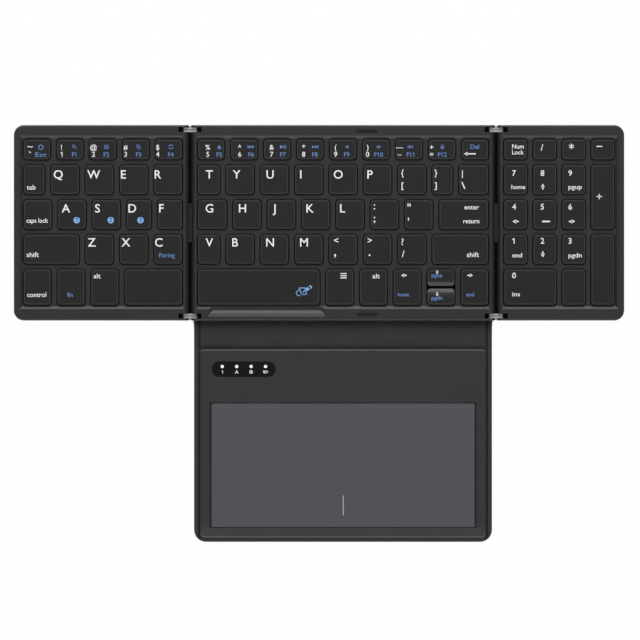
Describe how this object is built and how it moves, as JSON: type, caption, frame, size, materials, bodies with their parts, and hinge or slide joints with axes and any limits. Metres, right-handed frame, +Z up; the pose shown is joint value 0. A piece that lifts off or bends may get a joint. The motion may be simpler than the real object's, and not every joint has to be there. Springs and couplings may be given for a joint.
{
  "type": "folding keyboard",
  "caption": "Folding three-panel keyboard with double-pivot link hinges, travelling keys and a clicking touchpad on its leatherette folding cover.",
  "frame": {"origin": "centre of the middle panel's footprint, on the underside of its leatherette cover", "axes": "+X to the user's right along the three panels, +Y away from the user, +Z up"},
  "size_m": [0.3385, 0.2314, 0.0065],
  "materials": {
    "case": "satin dark grey",
    "keycap": "fine matt, near black",
    "cover": "grained leatherette",
    "steel": "brushed",
    "rubber": "matt",
    "circuit": "lacquered board",
    "cell": "foil wrapped",
    "window": "gloss smoked",
    "lamp": "milky",
    "touch": "satin frosted"
  },
  "bodies": {
    "centre": {"cover_back": "cover", "centre_bottom_case": "case", "centre_top_case": "case", "centre_key_plate": "steel", "centre_membrane": "rubber", "centre_hinge_pins": "steel", "fold_bumpers": "rubber", "charging_socket": "steel", "main_board": "circuit"},
    "left_link": {"left_hinge_links": "steel", "left_flex_cable": "rubber"},
    "left_wing": {"left_bottom_case": "case", "left_top_case": "case", "left_key_plate": "steel", "left_membrane": "rubber", "left_hinge_pins": "steel", "left_feet": "rubber"},
    "right_link": {"right_hinge_links": "steel", "right_flex_cable": "rubber"},
    "right_wing": {"right_bottom_case": "case", "right_top_case": "case", "right_key_plate": "steel", "right_membrane": "rubber", "right_hinge_pins": "steel", "right_feet": "rubber"},
    "spine": {"cover_spine": "cover"},
    "flap": {"cover_flap": "cover", "touchpad_base": "case", "touchpad_case": "case", "battery": "cell", "indicator_window": "window", "indicator_lights": "lamp"},
    "touch_surface": {"touchpad_plate": "touch", "touchpad_board": "circuit"},
    "left_number_keys": {"left_number_keys": "keycap"},
    "left_top_row_keys": {"left_top_row_keys": "keycap"},
    "left_home_row_keys": {"left_home_row_keys": "keycap"},
    "left_shift_key": {"left_shift_key": "keycap"},
    "left_letter_keys": {"left_letter_keys": "keycap"},
    "left_modifier_keys": {"left_modifier_keys": "keycap"},
    "left_space_key": {"left_space_key": "keycap"},
    "centre_number_keys": {"centre_number_keys": "keycap"},
    "centre_top_row_keys": {"centre_top_row_keys": "keycap"},
    "centre_home_row_keys": {"centre_home_row_keys": "keycap"},
    "return_key": {"return_key": "keycap"},
    "centre_letter_keys": {"centre_letter_keys": "keycap"},
    "right_shift_key": {"right_shift_key": "keycap"},
    "space_key": {"space_key": "keycap"},
    "centre_modifier_keys": {"centre_modifier_keys": "keycap"},
    "arrow_left_key": {"arrow_left_key": "keycap"},
    "arrow_up_key": {"arrow_up_key": "keycap"},
    "arrow_down_key": {"arrow_down_key": "keycap"},
    "arrow_right_key": {"arrow_right_key": "keycap"},
    "keypad_operator_keys": {"keypad_operator_keys": "keycap"},
    "keypad_seven_row_keys": {"keypad_seven_row_keys": "keycap"},
    "keypad_four_row_keys": {"keypad_four_row_keys": "keycap"},
    "keypad_one_row_keys": {"keypad_one_row_keys": "keycap"},
    "keypad_plus_key": {"keypad_plus_key": "keycap"},
    "keypad_enter_key": {"keypad_enter_key": "keycap"},
    "keypad_bottom_keys": {"keypad_bottom_keys": "keycap"}
  },
  "joints": [
    {"name": "left_wing_fold", "type": "hinge", "parent": "left_link", "child": "left_wing", "pos_m": [-0.0878, 0, 0.0036], "axis": [0, 1, 0], "range_deg": [0, 90], "deforming": ["left_flex_cable"]},
    {"name": "left_link_fold", "type": "hinge", "parent": "centre", "child": "left_link", "pos_m": [-0.082, 0, 0.0036], "axis": [0, 1, 0], "range_deg": [0, 90], "deforming": ["left_flex_cable"]},
    {"name": "right_wing_fold", "type": "hinge", "parent": "right_link", "child": "right_wing", "pos_m": [0.0878, 0, 0.0036], "axis": [0, -1, 0], "range_deg": [0, 90], "deforming": ["right_flex_cable"]},
    {"name": "right_link_fold", "type": "hinge", "parent": "centre", "child": "right_link", "pos_m": [0.082, 0, 0.0036], "axis": [0, -1, 0], "range_deg": [0, 90], "deforming": ["right_flex_cable"]},
    {"name": "cover_flap_fold", "type": "hinge", "parent": "spine", "child": "flap", "pos_m": [0, -0.0699, 0.0009], "axis": [-1, 0, 0], "range_deg": [0, 90]},
    {"name": "cover_spine_fold", "type": "hinge", "parent": "centre", "child": "spine", "pos_m": [0, -0.0545, 0.0009], "axis": [-1, 0, 0], "range_deg": [0, 90]},
    {"name": "touch_surface_click", "type": "hinge", "parent": "flap", "child": "touch_surface", "pos_m": [0, -0.09935, 0.0025], "axis": [1, 0, 0], "range_deg": [0, 0.24], "stiffness_Nm_per_rad": 9, "springref_deg": -0.11},
    {"name": "left_number_keys_press", "type": "slide", "parent": "left_wing", "child": "left_number_keys", "axis": [0, 0, -1], "range_m": [0, 0.0012], "stiffness_N_per_m": 300, "springref_m": -0.0005, "deforming": ["left_membrane"]},
    {"name": "left_top_row_keys_press", "type": "slide", "parent": "left_wing", "child": "left_top_row_keys", "axis": [0, 0, -1], "range_m": [0, 0.0012], "stiffness_N_per_m": 300, "springref_m": -0.0005, "deforming": ["left_membrane"]},
    {"name": "left_home_row_keys_press", "type": "slide", "parent": "left_wing", "child": "left_home_row_keys", "axis": [0, 0, -1], "range_m": [0, 0.0012], "stiffness_N_per_m": 300, "springref_m": -0.0005, "deforming": ["left_membrane"]},
    {"name": "left_shift_key_press", "type": "slide", "parent": "left_wing", "child": "left_shift_key", "axis": [0, 0, -1], "range_m": [0, 0.0012], "stiffness_N_per_m": 300, "springref_m": -0.0005, "deforming": ["left_membrane"]},
    {"name": "left_letter_keys_press", "type": "slide", "parent": "left_wing", "child": "left_letter_keys", "axis": [0, 0, -1], "range_m": [0, 0.0012], "stiffness_N_per_m": 300, "springref_m": -0.0005, "deforming": ["left_membrane"]},
    {"name": "left_modifier_keys_press", "type": "slide", "parent": "left_wing", "child": "left_modifier_keys", "axis": [0, 0, -1], "range_m": [0, 0.0012], "stiffness_N_per_m": 300, "springref_m": -0.0005, "deforming": ["left_membrane"]},
    {"name": "left_space_key_press", "type": "slide", "parent": "left_wing", "child": "left_space_key", "axis": [0, 0, -1], "range_m": [0, 0.0012], "stiffness_N_per_m": 300, "springref_m": -0.0005, "deforming": ["left_membrane"]},
    {"name": "centre_number_keys_press", "type": "slide", "parent": "centre", "child": "centre_number_keys", "axis": [0, 0, -1], "range_m": [0, 0.0012], "stiffness_N_per_m": 300, "springref_m": -0.0005, "deforming": ["centre_membrane"]},
    {"name": "centre_top_row_keys_press", "type": "slide", "parent": "centre", "child": "centre_top_row_keys", "axis": [0, 0, -1], "range_m": [0, 0.0012], "stiffness_N_per_m": 300, "springref_m": -0.0005, "deforming": ["centre_membrane"]},
    {"name": "centre_home_row_keys_press", "type": "slide", "parent": "centre", "child": "centre_home_row_keys", "axis": [0, 0, -1], "range_m": [0, 0.0012], "stiffness_N_per_m": 300, "springref_m": -0.0005, "deforming": ["centre_membrane"]},
    {"name": "return_key_press", "type": "slide", "parent": "centre", "child": "return_key", "axis": [0, 0, -1], "range_m": [0, 0.0012], "stiffness_N_per_m": 300, "springref_m": -0.0005, "deforming": ["centre_membrane"]},
    {"name": "centre_letter_keys_press", "type": "slide", "parent": "centre", "child": "centre_letter_keys", "axis": [0, 0, -1], "range_m": [0, 0.0012], "stiffness_N_per_m": 300, "springref_m": -0.0005, "deforming": ["centre_membrane"]},
    {"name": "right_shift_key_press", "type": "slide", "parent": "centre", "child": "right_shift_key", "axis": [0, 0, -1], "range_m": [0, 0.0012], "stiffness_N_per_m": 300, "springref_m": -0.0005, "deforming": ["centre_membrane"]},
    {"name": "space_key_press", "type": "slide", "parent": "centre", "child": "space_key", "axis": [0, 0, -1], "range_m": [0, 0.0012], "stiffness_N_per_m": 300, "springref_m": -0.0005, "deforming": ["centre_membrane"]},
    {"name": "centre_modifier_keys_press", "type": "slide", "parent": "centre", "child": "centre_modifier_keys", "axis": [0, 0, -1], "range_m": [0, 0.0012], "stiffness_N_per_m": 300, "springref_m": -0.0005, "deforming": ["centre_membrane"]},
    {"name": "arrow_left_key_press", "type": "slide", "parent": "centre", "child": "arrow_left_key", "axis": [0, 0, -1], "range_m": [0, 0.0012], "stiffness_N_per_m": 300, "springref_m": -0.0005, "deforming": ["centre_membrane"]},
    {"name": "arrow_up_key_press", "type": "slide", "parent": "centre", "child": "arrow_up_key", "axis": [0, 0, -1], "range_m": [0, 0.0012], "stiffness_N_per_m": 300, "springref_m": -0.0005, "deforming": ["centre_membrane"]},
    {"name": "arrow_down_key_press", "type": "slide", "parent": "centre", "child": "arrow_down_key", "axis": [0, 0, -1], "range_m": [0, 0.0012], "stiffness_N_per_m": 300, "springref_m": -0.0005, "deforming": ["centre_membrane"]},
    {"name": "arrow_right_key_press", "type": "slide", "parent": "centre", "child": "arrow_right_key", "axis": [0, 0, -1], "range_m": [0, 0.0012], "stiffness_N_per_m": 300, "springref_m": -0.0005, "deforming": ["centre_membrane"]},
    {"name": "keypad_operator_keys_press", "type": "slide", "parent": "right_wing", "child": "keypad_operator_keys", "axis": [0, 0, -1], "range_m": [0, 0.0012], "stiffness_N_per_m": 300, "springref_m": -0.0005, "deforming": ["right_membrane"]},
    {"name": "keypad_seven_row_keys_press", "type": "slide", "parent": "right_wing", "child": "keypad_seven_row_keys", "axis": [0, 0, -1], "range_m": [0, 0.0012], "stiffness_N_per_m": 300, "springref_m": -0.0005, "deforming": ["right_membrane"]},
    {"name": "keypad_four_row_keys_press", "type": "slide", "parent": "right_wing", "child": "keypad_four_row_keys", "axis": [0, 0, -1], "range_m": [0, 0.0012], "stiffness_N_per_m": 300, "springref_m": -0.0005, "deforming": ["right_membrane"]},
    {"name": "keypad_one_row_keys_press", "type": "slide", "parent": "right_wing", "child": "keypad_one_row_keys", "axis": [0, 0, -1], "range_m": [0, 0.0012], "stiffness_N_per_m": 300, "springref_m": -0.0005, "deforming": ["right_membrane"]},
    {"name": "keypad_plus_key_press", "type": "slide", "parent": "right_wing", "child": "keypad_plus_key", "axis": [0, 0, -1], "range_m": [0, 0.0012], "stiffness_N_per_m": 300, "springref_m": -0.0005, "deforming": ["right_membrane"]},
    {"name": "keypad_enter_key_press", "type": "slide", "parent": "right_wing", "child": "keypad_enter_key", "axis": [0, 0, -1], "range_m": [0, 0.0012], "stiffness_N_per_m": 300, "springref_m": -0.0005, "deforming": ["right_membrane"]},
    {"name": "keypad_bottom_keys_press", "type": "slide", "parent": "right_wing", "child": "keypad_bottom_keys", "axis": [0, 0, -1], "range_m": [0, 0.0012], "stiffness_N_per_m": 300, "springref_m": -0.0005, "deforming": ["right_membrane"]}
  ],
  "couplings": [
    {"joint": "left_link_fold", "follows": "left_wing_fold", "ratio": 1},
    {"joint": "right_link_fold", "follows": "right_wing_fold", "ratio": 1},
    {"joint": "cover_spine_fold", "follows": "cover_flap_fold", "ratio": 1}
  ]
}
